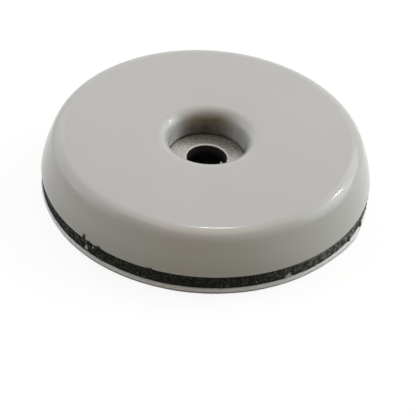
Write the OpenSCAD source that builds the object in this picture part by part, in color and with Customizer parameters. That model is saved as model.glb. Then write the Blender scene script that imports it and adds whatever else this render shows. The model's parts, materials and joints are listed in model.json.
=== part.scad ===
// Furniture slider: a round, screw-on or stick-on glide for a furniture leg.
// It lies here as it is sold, with its sliding face up and its release liner down.
// The origin is the middle of the liner's outer face, and +Z is the screw's axis.
// All sizes are in millimetres.

/* [Shell] */
// Outer diameter of the shell at its rim
shell_d = 40; // [30:0.5:60]
// Height of the shell from its rim to the sliding face
shell_h = 5.3; // [4.8:0.05:9]
// Wall thickness of the shell, measured square to its surface
shell_wall = 1.2; // [0.8:0.1:1.6]
// Lean of the side wall from upright at the rim, in degrees
wall_lean = 8; // [0:0.5:15]
// How much further the bowed side wall leans at its top, in degrees
wall_bow = 16; // [8:0.5:25]
// Rounding between the side wall and the sliding face
edge_r = 2; // [1.2:0.05:3]

/* [Screw well] */
// Diameter of the well that takes the screw head
well_d = 9.4; // [8:0.1:12]
// Rounding of the well's mouth
mouth_r = 1.6; // [0.8:0.05:2]
// Thickness of the flange that the washer sits on
seat_t = 0.8; // [0.5:0.1:1.2]
// How far the well's wall overhangs the washer's pocket
pocket_undercut = 0.2; // [0.1:0.05:0.4]
// Open height of the pocket above the washer
pocket_headroom = 0.25; // [0.1:0.05:0.4]

/* [Washer] */
// Diameter of the screw hole in the washer
screw_hole_d = 4.8; // [3.5:0.1:6]
// Thickness of the washer
washer_t = 1; // [0.6:0.1:1.2]
// Rounding of the washer's upper edges
washer_edge_r = 0.25; // [0.1:0.05:0.5]
// Clearance between the washer's rim and its pocket
washer_clearance = 0.05; // [0.02:0.01:0.1]
// Extra radius of the seat's hole round the screw hole
seat_hole_margin = 0.3; // [0.1:0.05:0.5]

/* [Core] */
// Clearance between the core and the shell's inner walls
core_clearance = 0.05; // [0.02:0.01:0.2]
// Thickness of the adhesive film under the core
film_t = 0.1; // [0.05:0.01:0.2]

/* [Cushion] */
// Thickness of the foam cushion
cushion_t = 1.65; // [1:0.05:4]
// Distance that the cushion's edge lies inside the shell's rim
cushion_inset = 0.15; // [0:0.05:1]
// Extra radius of the hole in the soft layers round the screw hole
soft_hole_margin = 0.5; // [0.2:0.1:1]

/* [Mounting tape] */
// Thickness of the tape's foam carrier
tape_foam_t = 0.68; // [0.4:0.02:1.5]
// Thickness of each of the tape's two adhesive layers
adhesive_t = 0.06; // [0.04:0.01:0.1]
// Distance that the tape's edge lies inside the cushion's edge
tape_inset = 0.1; // [0:0.05:1]

/* [Release liner] */
// Thickness of the paper liner
liner_t = 0.2; // [0.08:0.01:0.3]
// Distance that the liner's edge lies inside the tape's edge
liner_inset = 0.05; // [0:0.05:1]

/* [Hidden] */
$fn = 96;
// Steps in each rounded corner of an outline
arc_steps = 10;

// Heights of the layers, from the liner's outer face upwards
liner_top = liner_t;
tape_foam_bottom = liner_top + adhesive_t;
tape_foam_top = tape_foam_bottom + tape_foam_t;
tape_top = tape_foam_top + adhesive_t;
rim_z = tape_top + cushion_t;
film_top = rim_z + film_t;
seat_top = rim_z + seat_t;
washer_top = seat_top + washer_t;
pocket_top = washer_top + pocket_headroom;
face_z = rim_z + shell_h;

// Radii of the pieces round the screw's axis
rim_r = shell_d / 2;
well_r = well_d / 2;
pocket_r = well_r + pocket_undercut;
washer_r = pocket_r - washer_clearance;
screw_hole_r = screw_hole_d / 2;
seat_hole_r = screw_hole_r + seat_hole_margin;
soft_hole_r = screw_hole_r + soft_hole_margin;
cushion_r = rim_r - cushion_inset;
tape_r = cushion_r - tape_inset;
liner_r = tape_r - liner_inset;
core_inset = shell_wall + core_clearance;

// The side wall's bow is an arc from the rim up to the edge's rounding
shoulder_lean = wall_lean + wall_bow;
side_h = shell_h - edge_r * (1 - sin(shoulder_lean));
side_r = side_h / (sin(shoulder_lean) - sin(wall_lean));
side_centre = [rim_r - side_r * cos(wall_lean), rim_z - side_r * sin(wall_lean)];

// Points of an arc about a centre, between two angles; a radius of 0 gives one corner
function arc(centre, r, from, to) =
    r > 0
        ? [for (k = [0:arc_steps])
            let (a = from + (to - from) * k / arc_steps)
            centre + r * [cos(a), sin(a)]]
        : [centre];

// The same points in the other order
function reversed(points) = [for (k = [len(points) - 1:-1:0]) points[k]];

// What is left of a rounding on a surface that lies inside it
function inner_round(r, inset) = max(r - inset, 0);

// Lean, at a height, of the surface that lies a distance inside the side wall
function lean_at(z, inset) = asin((z - side_centre[1]) / (side_r - inset));

// Radius of that surface at the same height
function wall_r(z, inset) = side_centre[0] + (side_r - inset) * cos(lean_at(z, inset));

// The side wall from a height up to the edge's rounding, then the rounding itself,
// on a surface a distance inside the shell's skin
function side_and_edge(bottom, inset) =
    let (
        r = inner_round(edge_r, inset),
        z = face_z - inset - r,
        lean = lean_at(z, inset + r),
        side = arc(side_centre, side_r - inset, lean_at(bottom, inset), lean)
    )
    concat(
        [for (k = [0:arc_steps - 1]) side[k]],
        arc([wall_r(z, inset + r), z], r, lean, 90)
    );

// The well mouth's rounding, on a surface a distance inside the shell's skin
function mouth_arc(inset) =
    let (r = inner_round(mouth_r, inset))
    arc([well_r + inset + r, face_z - inset - r], r, 90, 180);

// A flat ring round the screw's axis, between two heights
module ring(bottom, top, inner_r, outer_r) {
    rotate_extrude()
        translate([inner_r, bottom])
            square([outer_r - inner_r, top - bottom]);
}

// Hollow moulded shell with the sliding face, the screw well and the washer's seat
module glide_shell() {
    color([0.71, 0.70, 0.68])
        rotate_extrude()
            polygon(concat(
                side_and_edge(rim_z, 0),
                mouth_arc(0),
                [
                    [well_r, pocket_top],
                    [pocket_r, pocket_top],
                    [pocket_r, seat_top],
                    [seat_hole_r, seat_top],
                    [seat_hole_r, rim_z],
                    [well_r + shell_wall, rim_z],
                ],
                reversed(mouth_arc(shell_wall)),
                reversed(side_and_edge(rim_z, shell_wall))
            ));
}

// Rigid core that fills the channel between the side wall and the well
module core_ring() {
    color([0.16, 0.16, 0.17])
        rotate_extrude()
            polygon(concat(
                side_and_edge(film_top, core_inset),
                mouth_arc(core_inset),
                [[well_r + core_inset, film_top]]
            ));
}

// Plated washer that carries the screw head, held under the well's wall
module seat_washer() {
    round_z = washer_top - washer_edge_r;
    color([0.62, 0.61, 0.60])
        rotate_extrude()
            polygon(concat(
                [[screw_hole_r, seat_top], [washer_r, seat_top]],
                arc([washer_r - washer_edge_r, round_z], washer_edge_r, 0, 90),
                arc([screw_hole_r + washer_edge_r, round_z], washer_edge_r, 90, 180)
            ));
}

// Adhesive film that holds the core to the cushion
module bond_film() {
    color([0.80, 0.78, 0.70])
        ring(rim_z, film_top, well_r + core_inset, wall_r(film_top, core_inset));
}

// Dark foam cushion under the shell's rim
module cushion_pad() {
    color([0.11, 0.11, 0.10])
        ring(tape_top, rim_z, soft_hole_r, cushion_r);
}

// Adhesive layer between the cushion and the tape's foam
module tape_upper_adhesive() {
    color([0.85, 0.84, 0.80])
        ring(tape_foam_top, tape_top, soft_hole_r, tape_r);
}

// White foam carrier of the mounting tape
module tape_foam() {
    color([0.90, 0.90, 0.89])
        ring(tape_foam_bottom, tape_foam_top, soft_hole_r, tape_r);
}

// Adhesive layer that sticks to the furniture leg
module tape_lower_adhesive() {
    color([0.85, 0.84, 0.80])
        ring(liner_top, tape_foam_bottom, soft_hole_r, tape_r);
}

// Paper that covers the adhesive until it is peeled away
module release_liner() {
    color([0.95, 0.95, 0.93])
        ring(0, liner_top, soft_hole_r, liner_r);
}

glide_shell();
core_ring();
seat_washer();
bond_film();
cushion_pad();
tape_upper_adhesive();
tape_foam();
tape_lower_adhesive();
release_liner();
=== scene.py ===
"""Dress the furniture slider: a rounded plastic shell on a foam cushion, mounting tape and paper.

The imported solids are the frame. Each piece sits where its solid sits, in metres, with +Z along the
screw's axis and the liner's outer face at z = 0. Azimuths run from +X towards +Y, in degrees.
"""

from __future__ import annotations

import json
import logging
import math
import random
from abc import ABC, abstractmethod
from dataclasses import dataclass, field
from enum import Enum
from typing import Any, Callable, Optional, Sequence, Union

import bmesh
import bpy
from mathutils import Matrix, Vector, noise

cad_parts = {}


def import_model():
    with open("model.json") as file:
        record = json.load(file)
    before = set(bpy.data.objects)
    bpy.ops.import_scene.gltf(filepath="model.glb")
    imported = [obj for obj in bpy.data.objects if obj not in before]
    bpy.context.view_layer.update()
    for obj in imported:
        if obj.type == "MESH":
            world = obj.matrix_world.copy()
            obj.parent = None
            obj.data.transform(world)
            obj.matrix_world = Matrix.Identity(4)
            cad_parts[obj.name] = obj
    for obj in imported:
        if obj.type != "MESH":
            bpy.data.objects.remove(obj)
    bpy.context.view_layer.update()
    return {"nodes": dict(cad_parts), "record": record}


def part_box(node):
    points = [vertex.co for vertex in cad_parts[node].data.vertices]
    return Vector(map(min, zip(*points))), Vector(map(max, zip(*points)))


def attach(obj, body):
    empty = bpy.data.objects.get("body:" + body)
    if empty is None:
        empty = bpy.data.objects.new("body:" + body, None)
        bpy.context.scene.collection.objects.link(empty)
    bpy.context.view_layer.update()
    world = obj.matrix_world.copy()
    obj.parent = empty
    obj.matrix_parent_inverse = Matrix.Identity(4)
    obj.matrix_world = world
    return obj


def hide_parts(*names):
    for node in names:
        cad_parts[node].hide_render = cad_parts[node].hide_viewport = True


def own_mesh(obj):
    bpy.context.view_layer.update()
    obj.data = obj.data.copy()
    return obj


LOG = logging.getLogger("slider")

MM = 0.001
FULL_TURN = 360.0

Point = tuple[float, float]
Ends = tuple[float, float]
Colour = tuple[float, float, float]
ShardRow = tuple[float, ...]
SocketKey = Union[str, int]

# The two ways in which a mask runs between its ends
RISE: Ends = (0.0, 1.0)
FALL: Ends = (1.0, 0.0)
WHITE: Colour = (1.0, 1.0, 1.0)
# Numbers of a Mix node's sockets for colours
MIX_FIRST, MIX_SECOND, MIX_RESULT = 6, 7, 2


class Body(Enum):
    """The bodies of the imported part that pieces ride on."""

    BASE = "base"
    SLIDER = "slider"
    LINER = "liner"


# Node trees


def opaque(colour: Colour) -> tuple[float, float, float, float]:
    """A colour with full alpha, as colour sockets take it."""
    return (*colour, 1.0)


class Sketch:
    """Short calls for placing and joining nodes in one node tree."""

    def __init__(self, tree: bpy.types.NodeTree) -> None:
        """Keep the tree that the calls work on."""
        self.tree = tree

    def join(self, source: bpy.types.NodeSocket, target: bpy.types.NodeSocket) -> None:
        """Join an output to an input."""
        self.tree.links.new(source, target)

    def add(
        self, kind: str, inputs: Optional[dict[SocketKey, Any]] = None, **settings: Any
    ) -> bpy.types.Node:
        """Place a node, set its properties, and set or join its inputs.

        Args:
            kind: The node's type name.
            inputs: A value or an output socket for each input, by name or by number.
            **settings: The node's own properties.

        Returns:
            The new node.
        """
        node = self.tree.nodes.new(kind)
        for name, value in settings.items():
            setattr(node, name, value)
        for key, value in (inputs or {}).items():
            if isinstance(value, bpy.types.NodeSocket):
                self.join(value, node.inputs[key])
            else:
                node.inputs[key].default_value = value
        return node

    def math(self, operation: str, first: Any, second: Any) -> bpy.types.NodeSocket:
        """Join two numbers by one operation and return the result's socket."""
        return self.add("ShaderNodeMath", {0: first, 1: second}, operation=operation).outputs[0]

    def times(self, first: Any, second: Any) -> bpy.types.NodeSocket:
        """Multiply two numbers and return the product's socket."""
        return self.math("MULTIPLY", first, second)

    def vector(self, operation: str, first: Any, second: Any) -> bpy.types.NodeSocket:
        """Join two vectors by one operation and return the result's socket."""
        return self.add("ShaderNodeVectorMath", {0: first, 1: second}, operation=operation).outputs[0]

    def clouds(self, place: Any, scale: Any, detail: Any) -> bpy.types.NodeSocket:
        """Draw noise at a place and return its value's socket."""
        inputs = {"Vector": place, "Scale": scale, "Detail": detail}
        return self.add("ShaderNodeTexNoise", inputs).outputs["Fac"]

    def ramp(self, value: Any, given: tuple[Any, Any] = RISE, result: Ends = RISE) -> bpy.types.NodeSocket:
        """Map a number smoothly from one range to another.

        Args:
            value: The number, or its socket.
            given: Where its range starts and ends, as numbers or sockets.
            result: The results there.

        Returns:
            The result's socket.
        """
        inputs = {"Value": value, "From Min": given[0], "From Max": given[1]}
        inputs |= {"To Min": result[0], "To Max": result[1]}
        return self.add("ShaderNodeMapRange", inputs, interpolation_type="SMOOTHSTEP").outputs["Result"]

    def mix(self, share: Any, first: Any, second: Any) -> bpy.types.NodeSocket:
        """Mix two colours by a share.

        Args:
            share: The second colour's share, or its socket.
            first: A colour or a colour's socket.
            second: Another.

        Returns:
            The mixed colour's socket.
        """
        first, second = (opaque(c) if isinstance(c, tuple) else c for c in (first, second))
        inputs = {0: share, MIX_FIRST: first, MIX_SECOND: second}
        return self.add("ShaderNodeMix", inputs, data_type="RGBA").outputs[MIX_RESULT]


class Effect(Enum):
    """The shader effects that several finishes share."""

    GRAIN = "surface_grain"
    HAIRLINES = "hairlines"
    CELLS = "foam_cells"
    SPECKS = "specks"
    PLACE = "round_place"


class EffectLibrary:
    """The shared effects as node groups, each built once, when a finish first asks for it."""

    # Level that noise swings about
    MIDDLE = 0.5
    # Directions of the scratches, in radians
    SCRATCH_TURNS = (0.35, 1.52, 2.41)
    # A scratch starts at the first noise level, less the effect's share, and is full at the second
    SCRATCH_START, SCRATCH_FULL = 0.72, 0.8
    # Detail of the noise that draws a scratch, and of the noise that draws a patch
    SCRATCH_DETAIL, PATCH_DETAIL = 1.0, 2.0
    # Noise levels between which a patch takes on scratches
    SCRATCH_PATCH: Ends = (0.42, 0.62)
    # Distances from a foam cell's middle between which its pit rises to its wall
    CELL_PIT: Ends = (0.1, 0.55)
    # How much finer the second set of foam cells is, and how deep compared with the first
    FINE_CELLS, FINE_DEPTH = 2.3, 0.6
    # Share of a speck's radius that is solid
    SPECK_CORE = 0.5

    @staticmethod
    def group(effect: Effect) -> bpy.types.NodeTree:
        """Return an effect's node group.

        Args:
            effect: The effect that is asked for.

        Returns:
            The group, newly built if no finish has used it yet.
        """
        builders = {
            Effect.GRAIN: EffectLibrary._grain,
            Effect.HAIRLINES: EffectLibrary._hairlines,
            Effect.CELLS: EffectLibrary._cells,
            Effect.SPECKS: EffectLibrary._specks,
            Effect.PLACE: EffectLibrary._place,
        }
        return bpy.data.node_groups.get(effect.value) or builders[effect]()

    @staticmethod
    def _start(effect: Effect, inputs: Sequence[str], outputs: Sequence[str]) -> tuple[Sketch, Any, Any]:
        """Start a group that takes a place on the surface and named numbers.

        Args:
            effect: The effect, which names the group.
            inputs: The number inputs.
            outputs: The number outputs.

        Returns:
            A sketch of the group, what it is given and what it puts out, by name.
        """
        tree = bpy.data.node_groups.new(effect.value, "ShaderNodeTree")
        tree.interface.new_socket("Vector", in_out="INPUT", socket_type="NodeSocketVector")
        for way, labels in (("INPUT", inputs), ("OUTPUT", outputs)):
            for label in labels:
                tree.interface.new_socket(label, in_out=way, socket_type="NodeSocketFloat")
        sketch = Sketch(tree)
        return sketch, sketch.add("NodeGroupInput").outputs, sketch.add("NodeGroupOutput").inputs

    @staticmethod
    def _grain() -> bpy.types.NodeTree:
        """Cloudy or fine unevenness: noise about its middle, stretched to the full range.

        Returns:
            The group.
        """
        sketch, given, result = EffectLibrary._start(Effect.GRAIN, ("Scale", "Detail", "Spread"), ("Mask",))
        cloud = sketch.clouds(given["Vector"], given["Scale"], given["Detail"])
        low = sketch.math("SUBTRACT", EffectLibrary.MIDDLE, given["Spread"])
        high = sketch.math("ADD", EffectLibrary.MIDDLE, given["Spread"])
        sketch.join(sketch.ramp(cloud, (low, high)), result["Mask"])
        return sketch.tree

    @staticmethod
    def _hairlines() -> bpy.types.NodeTree:
        """Fine straight scratches that come in patches and run in three directions.

        Returns:
            The group.
        """
        sketch, given, result = EffectLibrary._start(
            Effect.HAIRLINES, ("Scale", "Stretch", "Share"), ("Mask",)
        )
        level = sketch.math("SUBTRACT", EffectLibrary.SCRATCH_START, given["Share"])
        across = sketch.add("ShaderNodeCombineXYZ", {0: 1.0, 1: given["Stretch"], 2: 1.0}).outputs[0]
        lines = None
        for turn in EffectLibrary.SCRATCH_TURNS:
            turned = sketch.add(
                "ShaderNodeVectorRotate", {"Vector": given["Vector"], "Angle": turn}, rotation_type="Z_AXIS"
            )
            drawn = sketch.vector("MULTIPLY", turned.outputs[0], across)
            streak = sketch.clouds(drawn, given["Scale"], EffectLibrary.SCRATCH_DETAIL)
            line = sketch.ramp(streak, (level, EffectLibrary.SCRATCH_FULL))
            lines = line if lines is None else sketch.math("MAXIMUM", lines, line)
        patch = sketch.clouds(given["Vector"], given["Scale"], EffectLibrary.PATCH_DETAIL)
        worn = sketch.times(lines, sketch.ramp(patch, EffectLibrary.SCRATCH_PATCH))
        sketch.join(worn, result["Mask"])
        return sketch.tree

    @staticmethod
    def _cells() -> bpy.types.NodeTree:
        """Cut foam: round open cells of mixed size between thin walls.

        Returns:
            The group.
        """
        sketch, given, result = EffectLibrary._start(Effect.CELLS, ("Scale",), ("Mask", "Height"))
        finer = sketch.times(given["Scale"], EffectLibrary.FINE_CELLS)
        pits = []
        for scale in (given["Scale"], finer):
            cell = sketch.add("ShaderNodeTexVoronoi", {"Vector": given["Vector"], "Scale": scale})
            pits.append(sketch.ramp(cell.outputs["Distance"], EffectLibrary.CELL_PIT, FALL))
        pit = sketch.math("MAXIMUM", pits[0], sketch.times(pits[1], EffectLibrary.FINE_DEPTH))
        sketch.join(pit, result["Mask"])
        sketch.join(sketch.math("SUBTRACT", 1.0, pit), result["Height"])
        return sketch.tree

    @staticmethod
    def _specks() -> bpy.types.NodeTree:
        """Scattered small spots, on a share of the cells only.

        Returns:
            The group.
        """
        sketch, given, result = EffectLibrary._start(Effect.SPECKS, ("Scale", "Share", "Radius"), ("Mask",))
        cell = sketch.add("ShaderNodeTexVoronoi", {"Vector": given["Vector"], "Scale": given["Scale"]})
        drawn = sketch.add("ShaderNodeSeparateColor", {0: cell.outputs["Color"]})
        chosen = sketch.math("LESS_THAN", drawn.outputs[0], given["Share"])
        core = sketch.times(given["Radius"], EffectLibrary.SPECK_CORE)
        spot = sketch.ramp(cell.outputs["Distance"], (core, given["Radius"]), FALL)
        sketch.join(sketch.times(chosen, spot), result["Mask"])
        return sketch.tree

    @staticmethod
    def _place() -> bpy.types.NodeTree:
        """Distance from the screw's axis, places along X and Y, and height above the liner's outer face.

        Returns:
            The group.
        """
        labels = {"X": "Across", "Y": "Along", "Z": "Height"}
        sketch, given, result = EffectLibrary._start(Effect.PLACE, (), ("Radius", *labels.values()))
        flat = sketch.vector("MULTIPLY", given["Vector"], (1.0, 1.0, 0.0))
        length = sketch.add("ShaderNodeVectorMath", {0: flat}, operation="LENGTH")
        sketch.join(length.outputs["Value"], result["Radius"])
        parts = sketch.add("ShaderNodeSeparateXYZ", {0: given["Vector"]})
        for axis, label in labels.items():
            sketch.join(parts.outputs[axis], result[label])
        return sketch.tree


@dataclass(frozen=True)
class Relief:
    """How deep a bump goes, in metres, and how much of it shows."""

    depth: float
    show: float


class Paint(Sketch):
    """The node tree of one material, with calls for the shared effects and the shader itself."""

    def __init__(self, name: str) -> None:
        """Start an empty material of that name.

        Args:
            name: The material's name.
        """
        self.material = bpy.data.materials.new(name)
        self.material.use_nodes = True
        super().__init__(self.material.node_tree)
        self.tree.nodes.clear()
        self.output = self.add("ShaderNodeOutputMaterial")
        self.place = self.add("ShaderNodeTexCoord").outputs["Object"]

    def effect(self, effect: Effect, **values: float) -> Any:
        """Place a shared effect with this material's own values.

        Args:
            effect: The effect to place.
            **values: Its named inputs, in lower case.

        Returns:
            What the effect puts out, by name.
        """
        node = self.add("ShaderNodeGroup", node_tree=EffectLibrary.group(effect))
        self.join(self.place, node.inputs["Vector"])
        for name, value in values.items():
            node.inputs[name.capitalize()].default_value = value
        return node.outputs

    def mask(self, effect: Effect, **values: float) -> bpy.types.NodeSocket:
        """Place a shared effect and return its mask's socket."""
        return self.effect(effect, **values)["Mask"]

    def skewed(self, place: Any, skew: float) -> bpy.types.NodeSocket:
        """The place along Y, with a share of the place along X added to it."""
        return self.math("ADD", place["Along"], self.times(place["Across"], skew))

    def bump(self, height: Any, relief: Relief, under: Any = None) -> bpy.types.NodeSocket:
        """Turn a height into a normal.

        Args:
            height: The height's socket, from 0 to 1.
            relief: The depth that 1 stands for, and how much of it shows.
            under: The normal of a coarser bump that this one lies on.

        Returns:
            The normal's socket.
        """
        inputs = {"Height": height, "Distance": relief.depth, "Strength": relief.show}
        if under is not None:
            inputs["Normal"] = under
        return self.add("ShaderNodeBump", inputs).outputs["Normal"]

    def close(self, shader: bpy.types.Node) -> bpy.types.Material:
        """Join a shader to the output and return the finished material."""
        self.join(shader.outputs[0], self.output.inputs["Surface"])
        return self.material

    def finish(self, colour: Any, roughness: Any, normal: Any, **others: Any) -> bpy.types.Material:
        """Place the shader and close the material.

        Args:
            colour: The base colour's socket.
            roughness: The roughness' socket.
            normal: The normal's socket.
            **others: Plain values or sockets for other shader inputs, with _ for a space.

        Returns:
            The finished material.
        """
        inputs = {"Base Color": colour, "Roughness": roughness, "Normal": normal}
        inputs |= {name.replace("_", " "): value for name, value in others.items()}
        return self.close(self.add("ShaderNodeBsdfPrincipled", inputs))


# Finishes


class Finish(ABC):
    """The look of one material slot of the part."""

    slot: str

    def material(self) -> bpy.types.Material:
        """Return the finish's material, built on its first use."""
        return bpy.data.materials.get(self.label) or self.build(Paint(self.label))

    @property
    def label(self) -> str:
        """The material's name."""
        return self.slot + "_finish"

    @abstractmethod
    def build(self, paint: Paint) -> bpy.types.Material:
        """Fill an empty material.

        Args:
            paint: The empty material's node tree.

        Returns:
            The finished material.
        """


@dataclass(frozen=True)
class ShellPlastic(Finish):
    """Satin warm-grey moulding, clouded, scratched and dust-specked, with painted shade low on the side, at
    the back of the well (also dull there) and round the hole.
    """

    slot: str = "shell_plastic"
    pale: Colour = (0.508, 0.501, 0.486)
    clouded: Colour = (0.488, 0.481, 0.464)
    # Grey of the dust specks, also used as painted shade low on the side towards the rim
    dust_and_shade: Colour = (0.30, 0.28, 0.25)
    # Painted warm shade at the back of the well, and darker painted shade deep down by the washer
    well_shade: Colour = (0.235, 0.165, 0.095)
    deep_well_shade: Colour = (0.13, 0.10, 0.08)
    hole_shade: Colour = (0.04, 0.039, 0.035)
    satin: float = 0.16
    satin_spread: float = 0.03
    rubbed: float = 0.24
    dulled: float = 0.55
    ior: float = 1.46
    grain_relief: Relief = Relief(0.002 * MM, 0.4)
    scratch_relief: Relief = Relief(0.006 * MM, 0.12)
    speck_share: float = 0.35
    mouth_radii: Ends = (5.67 * MM, 6.426 * MM)
    hole_shade_radii: Ends = (3.4 * MM, 3.74 * MM)
    well_shade_heights: Ends = (6.6 * MM, 7.9 * MM)
    shade_reach: Ends = (3.0 * MM, 4.7 * MM)
    shade_skew: float = -0.12
    well_shade_shares: Ends = (0.75, 1.0)
    deep_well_shade_heights: Ends = (5.2 * MM, 6.4 * MM)
    rim_shade_heights: Ends = (2.7 * MM, 5.4 * MM)
    rim_shade_reach: Ends = (7.0 * MM, 15.0 * MM)
    rim_shade_shares: Ends = (0.27, 0.0)

    def build(self, paint: Paint) -> bpy.types.Material:
        """Fill an empty material.

        Args:
            paint: The empty material's node tree.

        Returns:
            The finished material.
        """
        place = paint.effect(Effect.PLACE)
        cloud = paint.mask(Effect.GRAIN, scale=95.0, detail=3.0, spread=0.3)
        grain = paint.mask(Effect.GRAIN, scale=5200.0, detail=5.0, spread=0.35)
        blotch = paint.mask(Effect.GRAIN, scale=900.0, detail=4.0, spread=0.3)
        lines = paint.mask(Effect.HAIRLINES, scale=110.0, stretch=55.0, share=0.04)
        specks = paint.mask(Effect.SPECKS, scale=700.0, share=0.04, radius=0.09)
        mouth = paint.ramp(place["Radius"], self.mouth_radii, FALL)
        # Painted shade on the back of the well's wall: blotchy, warm brown below the face, darkest near the
        # washer; the same part is dull
        well = paint.times(mouth, paint.ramp(paint.skewed(place, self.shade_skew), self.shade_reach))
        deep = paint.ramp(place["Height"], self.well_shade_heights, FALL)
        deep = paint.times(deep, paint.ramp(blotch, result=self.well_shade_shares))
        low = paint.ramp(place["Height"], self.deep_well_shade_heights, FALL)
        # Painted shade: near-black round the screw hole, where little light gets in
        inside = paint.ramp(place["Radius"], self.hole_shade_radii, FALL)
        # Painted shade: the side darkens towards the rim, except on the right
        rim = paint.ramp(place["Height"], self.rim_shade_heights, self.rim_shade_shares)
        rim = paint.times(rim, paint.ramp(place["Across"], self.rim_shade_reach, FALL))
        # greyed: where real dust specks and the painted shade near the rim grey the plastic
        greyed = paint.math("MAXIMUM", paint.times(specks, self.speck_share), rim)
        colour = paint.mix(cloud, self.pale, self.clouded)
        colour = paint.mix(greyed, colour, self.dust_and_shade)
        colour = paint.mix(paint.times(well, deep), colour, paint.mix(low, self.well_shade, self.deep_well_shade))
        colour = paint.mix(inside, colour, self.hole_shade)
        rough = paint.ramp(grain, result=(self.satin - self.satin_spread, self.satin + self.satin_spread))
        for mask, level in ((lines, self.rubbed), (well, self.dulled)):
            rough = paint.math("ADD", rough, paint.times(mask, level - self.satin))
        rough = paint.math("MAXIMUM", rough, inside)
        normal = paint.bump(grain, self.grain_relief)
        normal = paint.bump(paint.math("SUBTRACT", 1.0, lines), self.scratch_relief, normal)
        return paint.finish(colour, rough, normal, Metallic=inside, IOR=self.ior)


@dataclass(frozen=True)
class WasherSteel(Finish):
    """Dull zinc plating: speckled, with painted shade towards the back, a painted highlight on the rolled
    edge, and black painted shade in the hole.
    """

    slot: str = "washer_steel"
    light: Colour = (0.57, 0.565, 0.552)
    dark: Colour = (0.385, 0.38, 0.368)
    # The light and dark speckle tones in painted shade, towards the back where the well's wall shades the
    # washer
    shaded_light: Colour = (0.265, 0.262, 0.248)
    shaded_dark: Colour = (0.128, 0.124, 0.114)
    # Painted highlight on the rolled edge round the hole
    edge_highlight: Colour = (0.50, 0.49, 0.475)
    hole_shade: Colour = (0.045, 0.044, 0.04)
    hole_r: float = 2.4 * MM
    rolled: float = 0.3 * MM
    edge_highlight_shares: Ends = (0.4, 1.4)
    hole_shade_shares: Ends = (0.1, 0.4)
    shade_skew: float = 0.3
    shade_reach: Ends = (0.1 * MM, 3.7 * MM)
    pit_share: float = 0.5
    rough: Ends = (0.66, 0.56)
    metal: Ends = (0.5, 1.0)
    relief: Relief = Relief(0.012 * MM, 0.5)

    def beside_hole(self, shares: Ends) -> Ends:
        """Radii that lie outside the hole by shares of the rolled edge."""
        return self.hole_r + shares[0] * self.rolled, self.hole_r + shares[1] * self.rolled

    def build(self, paint: Paint) -> bpy.types.Material:
        """Fill an empty material.

        Args:
            paint: The empty material's node tree.

        Returns:
            The finished material.
        """
        place = paint.effect(Effect.PLACE)
        speckle = paint.mask(Effect.GRAIN, scale=4200.0, detail=6.0, spread=0.2)
        pits = paint.mask(Effect.SPECKS, scale=3600.0, share=0.2, radius=0.4)
        # Painted highlight: a paler ring on the rolled edge round the hole
        edge = paint.ramp(place["Radius"], self.beside_hole(self.edge_highlight_shares), FALL)
        # Painted shade: near-black in the punched hole, which also sets roughness and metal there
        punched = paint.ramp(place["Radius"], self.beside_hole(self.hole_shade_shares), FALL)
        # Painted shade: the washer darkens towards the back, in the shadow of the well's wall
        back = paint.ramp(paint.skewed(place, self.shade_skew), self.shade_reach)
        light = paint.mix(back, self.light, self.shaded_light)
        dark = paint.mix(back, self.dark, self.shaded_dark)
        colour = paint.mix(speckle, dark, light)
        colour = paint.mix(paint.times(pits, self.pit_share), colour, dark)
        colour = paint.mix(edge, colour, self.edge_highlight)
        colour = paint.mix(punched, colour, self.hole_shade)
        rough = paint.math("MAXIMUM", paint.ramp(speckle, result=self.rough), punched)
        metal = paint.ramp(punched, result=self.metal)
        normal = paint.bump(paint.math("SUBTRACT", speckle, pits), self.relief)
        return paint.finish(colour, rough, normal, Metallic=metal)


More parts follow.
